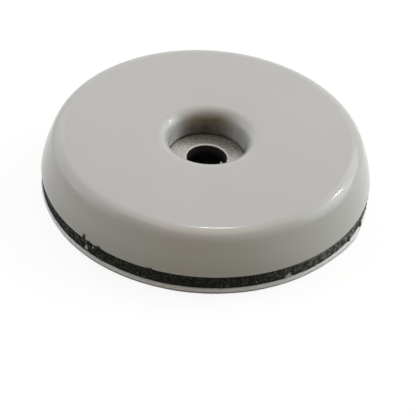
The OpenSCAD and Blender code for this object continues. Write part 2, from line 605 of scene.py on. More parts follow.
@dataclass(frozen=True)
class CushionFoam(Finish):
    """Near-black closed-cell foam: mottled where torn, paler towards the sides, dusty along the top at the
    right, with painted shade in its cells and a painted shadow along its foot.
    """

    slot: str = "cushion_foam"
    deep: Colour = (0.0065, 0.007, 0.0055)
    worn: Colour = (0.04, 0.041, 0.034)
    # The dark tone where it turns paler towards the right
    greyed: Colour = (0.048, 0.048, 0.043)
    pale: Colour = (0.25, 0.248, 0.23)
    fleck: Colour = (0.13, 0.127, 0.116)
    brim: Colour = (0.3, 0.3, 0.28)
    right_reach: Ends = (5.0 * MM, 20.0 * MM)
    left_reach: Ends = (-6.0 * MM, -14.0 * MM)
    left_shares: Ends = (0.0, 0.2)
    foot_heights: Ends = (1.02 * MM, 1.3 * MM)
    foot_shares: Ends = (0.8, 0.0)
    brim_heights: Ends = (2.3 * MM, 2.6 * MM)
    brim_reach: Ends = (8.0 * MM, 14.0 * MM)
    brim_shares: Ends = (0.0, 0.5)
    patch: Ends = (0.82, 1.36)
    cell_share: float = 0.3
    fleck_share: float = 0.7
    rough: Ends = (0.72, 0.9)
    sheen: float = 0.1
    torn_relief: Relief = Relief(0.06 * MM, 0.7)
    cell_relief: Relief = Relief(0.04 * MM, 0.8)

    def build(self, paint: Paint) -> bpy.types.Material:
        """Fill an empty material.

        Args:
            paint: The empty material's node tree.

        Returns:
            The finished material.
        """
        place = paint.effect(Effect.PLACE)
        cells = paint.effect(Effect.CELLS, scale=5200.0)
        torn = paint.mask(Effect.GRAIN, scale=1500.0, detail=6.0, spread=0.22)
        mottle = paint.mask(Effect.GRAIN, scale=3300.0, detail=2.0, spread=0.2)
        flecks = paint.mask(Effect.SPECKS, scale=2100.0, share=0.06, radius=0.22)
        # Paler towards the right, and in the light patches a little towards the left
        right = paint.ramp(place["Across"], self.right_reach)
        left = paint.ramp(place["Across"], self.left_reach, self.left_shares)
        # Painted shadow: the foot darkens where the foam overhangs the tape
        foot = paint.ramp(place["Height"], self.foot_heights, self.foot_shares)
        brim = paint.ramp(place["Height"], self.brim_heights, self.brim_shares)
        brim = paint.times(brim, paint.ramp(place["Across"], self.brim_reach))
        low = paint.mix(right, self.deep, self.greyed)
        high = paint.mix(paint.math("MAXIMUM", right, left), self.worn, self.pale)
        colour = paint.mix(paint.ramp(paint.math("ADD", torn, mottle), self.patch), low, high)
        # Painted shade in the cell pits
        colour = paint.mix(paint.times(cells["Mask"], self.cell_share), colour, low)
        colour = paint.mix(paint.times(flecks, self.fleck_share), colour, self.fleck)
        colour = paint.mix(brim, colour, self.brim)
        colour = paint.mix(foot, colour, self.deep)
        rough = paint.ramp(torn, result=self.rough)
        normal = paint.bump(torn, self.torn_relief)
        normal = paint.bump(cells["Height"], self.cell_relief, normal)
        return paint.finish(colour, rough, normal, Specular_IOR_Level=self.sheen)


@dataclass(frozen=True)
class TapeFoam(Finish):
    """White fine-celled foam carrier of the mounting tape, with painted shade in its cells, darker towards
    the foot of its cut edge.
    """

    slot: str = "tape_foam"
    pale: Colour = (0.92, 0.927, 0.945)
    shaded: Colour = (0.79, 0.797, 0.815)
    foot: Colour = (0.40, 0.40, 0.385)
    foot_heights: Ends = (0.32 * MM, 0.55 * MM)
    foot_shares: Ends = (0.5, 0.0)
    cell_share: float = 0.35
    cloud_share: float = 0.25
    rough: Ends = (0.6, 0.75)
    relief: Relief = Relief(0.025 * MM, 0.7)
    kind: str = ""

    @property
    def label(self) -> str:
        """The material's name, with its kind."""
        return self.slot + self.kind + "_finish"

    def build(self, paint: Paint) -> bpy.types.Material:
        """Fill an empty material.

        Args:
            paint: The empty material's node tree.

        Returns:
            The finished material.
        """
        place = paint.effect(Effect.PLACE)
        cells = paint.effect(Effect.CELLS, scale=7800.0)
        cloud = paint.mask(Effect.GRAIN, scale=700.0, detail=4.0, spread=0.3)
        # Painted shade in the cell pits, with a random cloudy tone, towards the shaded copy of the colour
        cell_shade_and_cloud = paint.times(cells["Mask"], self.cell_share)
        cell_shade_and_cloud = paint.math("ADD", cell_shade_and_cloud, paint.times(cloud, self.cloud_share))
        colour = paint.mix(cell_shade_and_cloud, self.pale, self.shaded)
        # Darker towards the foot of the cut edge
        low = paint.ramp(place["Height"], self.foot_heights, self.foot_shares)
        colour = paint.mix(low, colour, self.foot)
        rough = paint.ramp(cloud, result=self.rough)
        return paint.finish(colour, rough, paint.bump(cells["Height"], self.relief))


@dataclass(frozen=True)
class LinerPaper(Finish):
    """Coated white release paper with a faint fibre pattern."""

    slot: str = "liner_paper"
    white: Colour = (0.88, 0.89, 0.91)
    fibre: Colour = (0.78, 0.785, 0.8)
    fibre_share: float = 0.6
    cloud_share: float = 0.3
    rough: Ends = (0.42, 0.56)
    fibre_relief: Relief = Relief(0.008 * MM, 0.5)
    cloud_relief: Relief = Relief(0.012 * MM, 0.5)

    def build(self, paint: Paint) -> bpy.types.Material:
        """Fill an empty material.

        Args:
            paint: The empty material's node tree.

        Returns:
            The finished material.
        """
        fibres = paint.mask(Effect.HAIRLINES, scale=420.0, stretch=9.0, share=0.2)
        cloud = paint.mask(Effect.GRAIN, scale=900.0, detail=5.0, spread=0.25)
        colour = paint.mix(paint.times(fibres, self.fibre_share), self.white, self.fibre)
        colour = paint.mix(paint.times(cloud, self.cloud_share), colour, self.fibre)
        rough = paint.ramp(cloud, result=self.rough)
        normal = paint.bump(fibres, self.fibre_relief)
        return paint.finish(colour, rough, paint.bump(cloud, self.cloud_relief, normal))


@dataclass(frozen=True)
class TapeAdhesive(Finish):
    """Glossy, slightly yellow acrylic adhesive with small trapped bubbles, darker along its cut edge."""

    slot: str = "adhesive"
    clear: Colour = (0.66, 0.64, 0.57)
    bubble: Colour = (0.78, 0.77, 0.72)
    darkened: Colour = (0.17, 0.165, 0.15)
    edge_radii: Ends = (19.3 * MM, 19.7 * MM)
    rough: Ends = (0.16, 0.3)
    flow_relief: Relief = Relief(0.02 * MM, 0.4)
    bubble_relief: Relief = Relief(0.01 * MM, 0.6)

    def build(self, paint: Paint) -> bpy.types.Material:
        """Fill an empty material.

        Args:
            paint: The empty material's node tree.

        Returns:
            The finished material.
        """
        place = paint.effect(Effect.PLACE)
        flow = paint.mask(Effect.GRAIN, scale=260.0, detail=3.0, spread=0.3)
        bubbles = paint.mask(Effect.SPECKS, scale=1300.0, share=0.3, radius=0.3)
        colour = paint.mix(bubbles, self.clear, self.bubble)
        # Darker along the cut edge
        colour = paint.mix(paint.ramp(place["Radius"], self.edge_radii), colour, self.darkened)
        rough = paint.ramp(flow, result=self.rough)
        normal = paint.bump(flow, self.flow_relief)
        return paint.finish(colour, rough, paint.bump(bubbles, self.bubble_relief, normal))


@dataclass(frozen=True)
class CorePlastic(Finish):
    """Black reground plastic with a dull grain and paler chips."""

    slot: str = "core_plastic"
    black: Colour = (0.018, 0.018, 0.019)
    chip: Colour = (0.06, 0.06, 0.062)
    rough: Ends = (0.5, 0.68)
    relief: Relief = Relief(0.01 * MM, 0.6)

    def build(self, paint: Paint) -> bpy.types.Material:
        """Fill an empty material.

        Args:
            paint: The empty material's node tree.

        Returns:
            The finished material.
        """
        grain = paint.mask(Effect.GRAIN, scale=2600.0, detail=5.0, spread=0.3)
        chips = paint.mask(Effect.SPECKS, scale=900.0, share=0.2, radius=0.3)
        colour = paint.mix(chips, self.black, self.chip)
        rough = paint.ramp(grain, result=self.rough)
        return paint.finish(colour, rough, paint.bump(grain, self.relief))


# Shapes


def new_object(name: str, data: Any) -> bpy.types.Object:
    """Make an object of a mesh, a lamp or a camera and put it in the scene.

    Args:
        name: The object's name.
        data: What it is made of.

    Returns:
        The object.
    """
    made = bpy.data.objects.new(name, data)
    bpy.context.scene.collection.objects.link(made)
    return made


def arc(centre: Point, radius: float, start: float, end: float, steps: int) -> list[Point]:
    """Points of an arc in the plane of radius and height.

    Args:
        centre: The arc's centre.
        radius: Its radius; 0 gives the centre alone, as a sharp corner.
        start: The first point's angle, in degrees from outwards towards upwards.
        end: The last point's angle.
        steps: How many chords the arc has.

    Returns:
        The points, from start to end.
    """
    if radius <= 0:
        return [centre]
    angles = [math.radians(a) for a in span(start, end, steps)]
    return [(centre[0] + radius * math.cos(a), centre[1] + radius * math.sin(a)) for a in angles]


def span(first: float, last: float, steps: int) -> list[float]:
    """Evenly spaced numbers from first to last, both included."""
    return [first + (last - first) * k / steps for k in range(steps + 1)]


def edge_noise(azimuth: float, turns: float, row: float) -> float:
    """Noise along a layer's edge: finer with more turns, and different in each row."""
    a = math.radians(azimuth)
    return noise.noise(Vector((turns * math.cos(a), turns * math.sin(a), row)))


def turned_piece(
    name: str,
    profile: Sequence[Point],
    segments: int,
    cut: Optional[Sequence[float]] = None,
    shift: Optional[Callable[[float, float], float]] = None,
) -> bpy.types.Object:
    """Turn a closed outline round the screw's axis.

    Args:
        name: The piece's name.
        profile: The outline's points as radius and height.
        segments: How many steps the turn has.
        cut: For each point, how rough a die-cut edge is there, from 0 to 1.
        shift: Gives the change of radius at an azimuth, in degrees, and a height, for cut points.

    Returns:
        The piece, smooth but for its sharp corners, with its place in its mesh.
    """
    count = len(profile)
    verts, faces, weights = [], [], []
    for k in range(segments):
        azimuth = FULL_TURN * k / segments
        c, s = math.cos(math.radians(azimuth)), math.sin(math.radians(azimuth))
        here, ahead = k * count, (k + 1) % segments * count
        for j, (r, z) in enumerate(profile):
            weight = cut[j] if cut else 0.0
            if shift and weight > 0:
                r += weight * shift(azimuth, z)
            verts.append((r * c, r * s, z))
            weights.append(weight)
            beyond = (j + 1) % count
            faces.append((here + j, ahead + j, ahead + beyond, here + beyond))
    mesh = bpy.data.meshes.new(name)
    mesh.from_pydata(verts, [], faces)
    if cut:
        mesh.attributes.new("cut", "FLOAT", "POINT").data.foreach_set("value", weights)
    face_outwards(mesh)
    return new_object(name, mesh)


def face_outwards(mesh: bpy.types.Mesh, sharp: float = 35.0) -> None:
    """Turn a closed mesh's faces outwards and shade it smooth, but for its sharp corners.

    Args:
        mesh: The mesh.
        sharp: The angle, in degrees, over which a corner is sharp.
    """
    work = bmesh.new()
    work.from_mesh(mesh)
    bmesh.ops.recalc_face_normals(work, faces=work.faces)
    work.to_mesh(mesh)
    work.free()
    mesh.shade_smooth()
    mesh.set_sharp_from_angle(angle=math.radians(sharp))


class EdgeTools:
    """Geometry Nodes trees for what a die and handling leave on the layers' edges."""

    DIE_CUT = "die_cut_edge"
    SHARDS = "torn_shards"
    # What each tree is given besides geometry: how far noise moves its points, the noise's grain and
    # seed, and the material
    INPUTS = {
        "Reach": "NodeSocketVector",
        "Grain": "NodeSocketFloat",
        "Seed": "NodeSocketFloat",
        "Material": "NodeSocketMaterial",
    }
    NOISE_DETAIL = 3.0
    NOISE_MIDDLE = (0.5, 0.5, 0.5)
    # A shard of unit size: a short cone with a blunt tip
    CONE = {"Vertices": 7, "Side Segments": 4, "Radius Top": 0.12, "Radius Bottom": 0.5, "Depth": 1.0}

    @staticmethod
    def start(name: str) -> tuple[Sketch, Any, Any]:
        """Start a tree that takes and gives back geometry.

        Args:
            name: The tree's name.

        Returns:
            A sketch of the tree, what it is given and what it puts out, by name.
        """
        tree = bpy.data.node_groups.new(name, "GeometryNodeTree")
        tree.interface.new_socket("Geometry", in_out="INPUT", socket_type="NodeSocketGeometry")
        for label, kind in EdgeTools.INPUTS.items():
            tree.interface.new_socket(label, in_out="INPUT", socket_type=kind)
        tree.interface.new_socket("Geometry", in_out="OUTPUT", socket_type="NodeSocketGeometry")
        sketch = Sketch(tree)
        return sketch, sketch.add("NodeGroupInput").outputs, sketch.add("NodeGroupOutput").inputs

    @staticmethod
    def attribute(sketch: Sketch, name: str, kind: str) -> bpy.types.NodeSocket:
        """Read an attribute of the points and return its socket."""
        node = sketch.add("GeometryNodeInputNamedAttribute", {"Name": name}, data_type=kind)
        return node.outputs["Attribute"]

    @staticmethod
    def close(
        sketch: Sketch, given: Any, result: Any, geometry: Any, weight: Any = 1.0
    ) -> bpy.types.NodeTree:
        """Realize what is instanced, move each point by noise, set the material and end the tree.

        Args:
            sketch: The tree to work in.
            given: What the tree is given.
            result: What it puts out.
            geometry: The geometry's socket.
            weight: The share of the move that each point takes.

        Returns:
            The tree.
        """
        drawn = sketch.add(
            "ShaderNodeTexNoise",
            {
                "Vector": sketch.add("GeometryNodeInputPosition").outputs[0],
                "W": given["Seed"],
                "Scale": given["Grain"],
                "Detail": EdgeTools.NOISE_DETAIL,
            },
            noise_dimensions="4D",
        )
        centred = sketch.vector("SUBTRACT", drawn.outputs["Color"], EdgeTools.NOISE_MIDDLE)
        offset = sketch.vector("MULTIPLY", centred, given["Reach"])
        weighed = sketch.add("ShaderNodeVectorMath", {0: offset, "Scale": weight}, operation="SCALE")
        real = sketch.add("GeometryNodeRealizeInstances", {"Geometry": geometry})
        moved = sketch.add(
            "GeometryNodeSetPosition", {"Geometry": real.outputs[0], "Offset": weighed.outputs[0]}
        )
        dressed = sketch.add(
            "GeometryNodeSetMaterial", {"Geometry": moved.outputs[0], "Material": given["Material"]}
        )
        sketch.join(dressed.outputs[0], result["Geometry"])
        return sketch.tree

    @staticmethod
    def die_cut() -> bpy.types.NodeTree:
        """Roughen a layer where its cut attribute says that the die went through it.

        Returns:
            The tree, built on its first use.
        """
        if EdgeTools.DIE_CUT in bpy.data.node_groups:
            return bpy.data.node_groups[EdgeTools.DIE_CUT]
        sketch, given, result = EdgeTools.start(EdgeTools.DIE_CUT)
        cut = EdgeTools.attribute(sketch, "cut", "FLOAT")
        return EdgeTools.close(sketch, given, result, given["Geometry"], cut)

    @staticmethod
    def shards() -> bpy.types.NodeTree:
        """Stand a torn shard on each point, sized and turned by the point's own attributes.

        Returns:
            The tree, built on its first use.
        """
        if EdgeTools.SHARDS in bpy.data.node_groups:
            return bpy.data.node_groups[EdgeTools.SHARDS]
        sketch, given, result = EdgeTools.start(EdgeTools.SHARDS)
        cone = sketch.add("GeometryNodeMeshCone", EdgeTools.CONE)
        placed = sketch.add(
            "GeometryNodeInstanceOnPoints",
            {
                "Points": given["Geometry"],
                "Instance": cone.outputs["Mesh"],
                "Rotation": EdgeTools.attribute(sketch, "turn", "FLOAT_VECTOR"),
                "Scale": EdgeTools.attribute(sketch, "size", "FLOAT_VECTOR"),
            },
        )
        return EdgeTools.close(sketch, given, result, placed.outputs[0])

    @staticmethod
    def apply(piece: bpy.types.Object, tree: bpy.types.NodeTree, **values: Any) -> None:
        """Run a tree on a piece and keep the result as the piece's own plain mesh.

        Args:
            piece: The piece.
            tree: The tree to run.
            **values: The tree's named inputs, in lower case.
        """
        modifier = piece.modifiers.new(tree.name, "NODES")
        modifier.node_group = tree
        for item in tree.interface.items_tree:
            if item.in_out == "INPUT" and item.name.lower() in values:
                modifier[item.identifier] = values[item.name.lower()]
        bpy.context.view_layer.update()
        graph = bpy.context.evaluated_depsgraph_get()
        mesh = bpy.data.meshes.new_from_object(piece.evaluated_get(graph), depsgraph=graph)
        piece.modifiers.remove(modifier)
        piece.data = mesh
        face_outwards(mesh)


@dataclass(frozen=True)
class Shard:
    """One torn tag: where it stands on a layer's edge, its size, and how it leans."""

    azimuth: float
    height: float
    radius: float
    width: float
    thick: float
    tall: float
    lean: float = 0.0
    twist: float = 0.0

    def place(self) -> tuple[float, float, float]:
        """The middle of the shard's foot."""
        a = math.radians(self.azimuth)
        return self.radius * math.cos(a), self.radius * math.sin(a), self.height

    def size(self) -> tuple[float, float, float]:
        """The shard's size along the edge, through it and upwards."""
        return self.width, self.thick, self.tall

    def turn(self) -> tuple[float, float, float]:
        """The turn that lays the width along the edge and leans the tip inwards."""
        return -math.radians(self.lean), math.radians(self.twist), math.radians(self.azimuth + 90.0)


def tabled_shards(rows: Sequence[ShardRow], foot: float, edge: float) -> list[Shard]:
    """Shards from a table.

    Args:
        rows: For each shard its azimuth; its rise over the foot, reach past the edge, width,
            thickness and height, in millimetres; and its lean and twist, in degrees.
        foot: The height that the rises start from.
        edge: The radius that the reaches start from.

    Returns:
        The shards, in the table's order.
    """
    return [
        Shard(azimuth, foot + rise * MM, edge + reach * MM, width * MM, thick * MM, tall * MM, lean, twist)
        for azimuth, rise, reach, width, thick, tall, lean, twist in rows
    ]


def shard_piece(
    name: str, shards: Sequence[Shard], finish: Finish, ragged: float, seed: float, grain: float = 4000.0
) -> bpy.types.Object:
    """Make one piece of many torn shards.

    Args:
        name: The piece's name.
        shards: The shards.
        finish: What they are made of.
        ragged: How far the noise moves their surface, in metres.
        seed: Which noise is drawn.
        grain: The noise's scale.

    Returns:
        The piece.
    """
    mesh = bpy.data.meshes.new(name)
    mesh.from_pydata([s.place() for s in shards], [], [])
    vectors = {"size": [x for s in shards for x in s.size()], "turn": [x for s in shards for x in s.turn()]}
    for label, values in vectors.items():
        mesh.attributes.new(label, "FLOAT_VECTOR", "POINT").data.foreach_set("vector", values)
    piece = new_object(name, mesh)
    EdgeTools.apply(
        piece, EdgeTools.shards(), reach=(ragged,) * 3, grain=grain, seed=seed, material=finish.material()
    )
    return piece


# Sub-assemblies


@dataclass(frozen=True)
class SliderSizes:
    """Radii and heights that the sub-assemblies share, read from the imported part."""

    rim_r: float
    rim_z: float
    face_z: float
    well_r: float
    hole_r: float
    soft_margin: float = 0.5 * MM

    @classmethod
    def from_frame(cls, record: dict[str, Any]) -> SliderSizes:
        """Read the shared sizes.

        Args:
            record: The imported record.

        Returns:
            The sizes, in metres.
        """
        low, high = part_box("glide_shell")
        radii = {m["name"]: m["dims"].get("r_mm", 0.0) * MM for m in record["mounts"]}
        return cls(high.x, low.z, high.z, radii["head_recess"], radii["screw_hole"])

    @property
    def soft_hole_r(self) -> float:
        """Radius of the hole through the soft layers."""
        return self.hole_r + self.soft_margin


@dataclass(frozen=True)
class Bulge:
    """Where a soft layer sticks out from under the shell, and how far."""

    height: float
    azimuth: float = 335.5
    width: float = 10.5

    def reach(self, azimuth: float) -> float:
        """How far the layer's edge sticks out at an azimuth."""
        near = ((azimuth - self.azimuth + FULL_TURN / 2) % FULL_TURN - FULL_TURN / 2) / self.width
        return self.height * math.exp(-near * near)


def layer_outline(
    edge: Sequence[Point], edge_cut: Sequence[float], hole: Sequence[Point], hole_cut: float, rings: int
) -> tuple[list[Point], list[float]]:
    """Close a soft layer's outline, and say how rough its cut is at each point.

    Args:
        edge: The outer edge, from the bottom up.
        edge_cut: How rough the cut is at each of its points.
        hole: The hole's edge, from the top down.
        hole_cut: How rough the cut is there.
        rings: How many rings the flat faces have.

    Returns:
        The outline's points, and for each how rough the cut is.
    """
    radii = span(edge[0][0], hole[0][0], rings)[1:-1]
    top = [(r, hole[0][1]) for r in radii]
    bottom = [(r, edge[0][1]) for r in reversed(radii)]
    flat = [0.0] * len(radii)
    return [*edge, *top, *hole, *bottom], [*edge_cut, *flat, *[hole_cut] * len(hole), *flat]


def coat(piece: bpy.types.Object, finish: Finish) -> None:
    """Give a piece its finish, and the material slot that goes with it.

    Args:
        piece: The piece.
        finish: Its finish.
    """
    piece.data.materials.clear()
    piece.data.materials.append(finish.material())


def dress(piece: bpy.types.Object, finish: Finish, body: Body, *nodes: str) -> bpy.types.Object:
    """Give a new piece its finish, its body and the solids that it stands for.

    Args:
        piece: The piece.
        finish: Its finish.
        body: The body that it rides on.
        *nodes: The solids that it replaces, if any.

    Returns:
        The same piece.
    """
    coat(piece, finish)
    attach(piece, body.value)
    if nodes:
        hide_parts(*nodes)
    LOG.info("%s: %d faces, on %s", piece.name, len(piece.data.polygons), body.value)
    return piece


@dataclass
class GlideShell:
    """The moulded shell: sliding face, bowed side, and the screw well with its washer pocket."""

    sizes: SliderSizes
    wall: float = 1.2 * MM
    lean: float = 8.0
    bow: float = 16.0
    edge_round: float = 2.0 * MM
    mouth_round: float = 1.6 * MM
    rim_round: float = 0.2 * MM
    lip_round: float = 0.08 * MM
    undercut: float = 0.2 * MM
    headroom: float = 0.25 * MM
    seat_margin: float = 0.3 * MM
    segments: int = 288
    arc_steps: int = 24
    corner_steps: int = 5
    # Thin flash that the mould left: a seam down the well's wall, and a nib on its lip
    flash: Sequence[ShardRow] = (
        (152.0, -3.1, 0.0, 0.22, 0.2, 1.3, -4.0, 0.0),
        (290.0, -0.6, 0.42, 0.45, 0.2, 0.4, 0.0, -10.0),
    )
    flash_ragged: float = 0.04 * MM
    flash_seed: float = 3.0
    side_r: float = field(init=False)
    side_centre: Point = field(init=False)

    def __post_init__(self) -> None:
        """Work out the arc that the side wall's bow follows, from the rim up to the edge's rounding."""
        low, high = math.radians(self.lean), math.radians(self.lean + self.bow)
        side_h = self.sizes.face_z - self.sizes.rim_z - self.edge_round * (1 - math.sin(high))
        self.side_r = side_h / (math.sin(high) - math.sin(low))
        self.side_centre = (
            self.sizes.rim_r - self.side_r * math.cos(low),
            self.sizes.rim_z - self.side_r * math.sin(low),
        )

    def lean_at(self, z: float, inset: float) -> float:
        """Lean, at a height, of the surface that lies a distance inside the side wall."""
        return math.degrees(math.asin((z - self.side_centre[1]) / (self.side_r - inset)))

    def wall_r(self, z: float, inset: float) -> float:
        """Radius of that surface at the same height."""
        return self.side_centre[0] + (self.side_r - inset) * math.cos(math.radians(self.lean_at(z, inset)))

    def side_and_edge(self, bottom: float, inset: float) -> list[Point]:
        """The side wall from a height upwards, then the edge's rounding.

        Args:
            bottom: The height that the wall starts at.
            inset: How far inside the skin the surface lies.

        Returns:
            The points, from the bottom to the face.
        """
        r = max(self.edge_round - inset, 0.0)
        z = self.sizes.face_z - inset - r
        lean = self.lean_at(z, inset + r)
        side = arc(self.side_centre, self.side_r - inset, self.lean_at(bottom, inset), lean, self.arc_steps)
        return side[:-1] + arc((self.wall_r(z, inset + r), z), r, lean, 90.0, self.arc_steps)

    def mouth_arc(self, inset: float) -> list[Point]:
        """The well mouth's rounding.

        Args:
            inset: How far inside the skin the surface lies.

        Returns:
            The points, from the face to the well.
        """
        r = max(self.mouth_round - inset, 0.0)
        centre = (self.sizes.well_r + inset + r, self.sizes.face_z - inset - r)
        return arc(centre, r, 90.0, 180.0, self.arc_steps)

    def rim_arc(self) -> list[Point]:
        """The small rounding of the rim.

        Returns:
            The points, from under the rim to the side wall.
        """
        z = self.sizes.rim_z + self.rim_round
        centre = (self.wall_r(z, self.rim_round), z)
        return arc(centre, self.rim_round, -90.0, self.lean_at(z, self.rim_round), self.corner_steps)

    def profile(self) -> list[Point]:
        """The shell's outline, from its rim over the face, down the well and back inside.

        Returns:
            The outline's points.
        """
        s = self.sizes
        seat_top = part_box("seat_washer")[0].z
        pocket_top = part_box("seat_washer")[1].z + self.headroom
        pocket_r = s.well_r + self.undercut
        rim = self.rim_arc()
        lip = (s.well_r + self.lip_round, pocket_top + self.lip_round)
        return [
            *rim[:-1],
            *self.side_and_edge(rim[-1][1], 0.0),
            *self.mouth_arc(0.0),
            *arc(lip, self.lip_round, 180.0, 270.0, self.corner_steps),
            (pocket_r, pocket_top),
            (pocket_r, seat_top),
            (s.hole_r + self.seat_margin, seat_top),
            (s.hole_r + self.seat_margin, s.rim_z),
            (s.well_r + self.wall, s.rim_z),
            *reversed(self.mouth_arc(self.wall)),
            *reversed(self.side_and_edge(s.rim_z, self.wall)),
        ]

    def build(self) -> list[bpy.types.Object]:
        """Turn the shell, add its flash, and dress both.

        Returns:
            The two pieces.
        """
        finish = ShellPlastic()
        shell = turned_piece("shell_moulding", self.profile(), self.segments)
        shards = tabled_shards(self.flash, self.sizes.face_z, self.sizes.well_r)
        flash = shard_piece("shell_flash", shards, finish, self.flash_ragged, self.flash_seed)
        return [dress(shell, finish, Body.SLIDER, "glide_shell"), dress(flash, finish, Body.SLIDER)]


@dataclass
class SeatWasher:
    """The punched washer in the well: rounded upper edges, and a small raised burr round its hole."""

    sizes: SliderSizes
    roll: float = 0.25 * MM
    burr: float = 0.05 * MM
    burr_foot: float = 0.65 * MM
    burr_angle: float = 70.0
    segments: int = 192
    arc_steps: int = 8

    def build(self) -> bpy.types.Object:
        """Turn the washer and dress it.

        Returns:
            The piece.
        """
        low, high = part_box("seat_washer")
        hole = self.sizes.hole_r
        round_z = high.z - self.roll
        burr = (hole + self.roll, round_z + self.burr)
        profile = [
            (hole, low.z),
            (high.x, low.z),
            *arc((high.x - self.roll, round_z), self.roll, 0.0, 90.0, self.arc_steps),
            (hole + self.burr_foot, high.z),
            *arc(burr, self.roll, self.burr_angle, 180.0, self.arc_steps),
        ]
        piece = turned_piece("washer_plated", profile, self.segments)
        return dress(piece, WasherSteel(hole_r=hole), Body.SLIDER, "seat_washer")


@dataclass
class CushionPad:
    """The foam cushion: a die-cut ring with a ragged edge, a tear at the front left, and torn tags."""

    sizes: SliderSizes
    rows: int = 14
    hole_rows: int = 4
    rings: int = 8
    segments: int = 900
    end_cut: float = 0.6
    hole_cut: float = 0.3
    wave: float = 0.06 * MM
    wave_turns: float = 3.0
    fine_share: float = 0.6
    fine_turns: float = 30.0
    fine_tall: float = 0.8 * MM
    ragged: float = 0.16 * MM
    ragged_up: float = 0.048 * MM
    grain: float = 1900.0
    tear_azimuth: float = 228.5
    tear_wander: float = 0.5
    tear_width: float = 0.6
    tear_depth: float = 0.35 * MM
    nip: float = 0.06 * MM
    nip_tall: float = 0.5 * MM
    bulge: Bulge = Bulge(0.1 * MM)
    seed: int = 11
    # Torn tags at the tear and the bump, which stand over the rim
    rim_tags: Sequence[ShardRow] = (
        (227.4, -0.6, 0.08, 0.85, 0.2, 1.38, 5.0, -2.0),
        (226.7, -0.5, 0.08, 0.6, 0.2, 0.75, 4.0, 10.0),
        (230.3, -0.5, 0.08, 0.6, 0.24, 0.82, 4.0, -12.0),
        (229.7, -0.12, 0.08, 0.3, 0.2, 0.42, 0.0, -38.0),
        (233.8, -0.6, 0.08, 1.7, 0.22, 0.98, 5.0, 6.0),
        (235.0, -0.5, 0.08, 1.5, 0.2, 0.68, 5.0, 10.0),
        (252.9, -0.3, 0.08, 0.5, 0.2, 0.62, 5.0, 6.0),
        (254.4, -0.3, 0.08, 0.45, 0.2, 0.66, 5.0, -6.0),
    )
    # Torn tags at the cushion's foot, on its bulge
    foot_tags: Sequence[ShardRow] = (
        (331.2, 0.02, 0.06, 0.6, 0.24, 0.4, -8.0, 12.0),
        (340.8, 0.05, 0.1, 0.6, 0.36, 0.6, -6.0, -10.0),
    )
    tag_ragged: float = 0.12 * MM
    tag_seed: float = 5.0
    # Small tags all round: how many, how far they stay from the foot and the rim, how deep they sit in
    # the edge, their sizes in millimetres, and their turns in degrees
    small_count: int = 340
    small_from_foot: float = 0.1 * MM
    small_from_rim: float = 0.25 * MM
    small_sunk: float = 0.03 * MM
    small_width: Ends = (0.1, 0.32)
    small_thick: Ends = (0.08, 0.2)
    small_tall: Ends = (0.1, 0.24)
    small_lean: Ends = (-70.0, 20.0)
    small_twist: Ends = (-50.0, 50.0)
    foot: float = field(init=False)

    def __post_init__(self) -> None:
        """Note the height that the foam stands on."""
        self.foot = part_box("cushion_pad")[0].z

    def shift(self, azimuth: float, z: float) -> float:
        """Change of the edge's radius: a slow wave, a nipped foot, a tear at one place, a bulge at another.

        Args:
            azimuth: The place on the edge, in degrees.
            z: The height there.

        Returns:
            The change, in metres.
        """
        wave = edge_noise(azimuth, self.wave_turns, 0.0)
        fine = edge_noise(azimuth, self.fine_turns, z / self.fine_tall)
        near = (azimuth - self.tear_azimuth - self.tear_wander * fine) / self.tear_width
        torn = self.tear_depth * math.exp(-near * near)
        low = max(1.0 - (z - self.foot) / self.nip_tall, 0.0)
        return self.wave * (wave + self.fine_share * fine) - torn - self.nip * low + self.bulge.reach(azimuth)

    def ring(self) -> bpy.types.Object:
        """The foam ring with its roughened edges.

        Returns:
            The piece, not yet dressed.
        """
        low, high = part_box("cushion_pad")
        edge = [(high.x, z) for z in span(low.z, high.z, self.rows)]
        edge_cut = [self.end_cut, *[1.0] * (self.rows - 1), self.end_cut]
        hole = [(self.sizes.soft_hole_r, z) for z in span(high.z, low.z, self.hole_rows)]
        profile, cut = layer_outline(edge, edge_cut, hole, self.hole_cut, self.rings)
        piece = turned_piece("cushion_foam", profile, self.segments, cut, self.shift)
        EdgeTools.apply(
            piece,
            EdgeTools.die_cut(),
            reach=(self.ragged, self.ragged, self.ragged_up),
            grain=self.grain,
            seed=float(self.seed),
            material=CushionFoam().material(),
        )
        return piece

    def tags(self) -> list[Shard]:
        """The torn tags: those that stand over the rim, those at the foot, and small ones all round.

        Returns:
            The tags.
        """
        z, edge, low = self.sizes.rim_z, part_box("cushion_pad")[1].x, self.foot
        standing = tabled_shards(self.rim_tags, z, self.sizes.rim_r)
        standing += tabled_shards(self.foot_tags, low, edge)
        draw = random.Random(self.seed)
        small = [
            Shard(
                draw.uniform(0.0, FULL_TURN),
                draw.uniform(low + self.small_from_foot, z - self.small_from_rim),
                edge - self.small_sunk,
                draw.uniform(*self.small_width) * MM,
                draw.uniform(*self.small_thick) * MM,
                draw.uniform(*self.small_tall) * MM,
                draw.uniform(*self.small_lean),
                draw.uniform(*self.small_twist),
            )
            for _ in range(self.small_count)
        ]
        return standing + small

    def build(self) -> list[bpy.types.Object]:
        """Make the ring and its tags, each with its own mesh.

        Returns:
            The two pieces.
        """
        finish = CushionFoam()
        foam = dress(self.ring(), finish, Body.BASE, "cushion_pad")
        tags = shard_piece("cushion_tags", self.tags(), finish, self.tag_ragged, self.tag_seed)
        dress(tags, finish, Body.BASE)
        for piece in (foam, tags):
            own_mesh(piece)
        return [foam, tags]


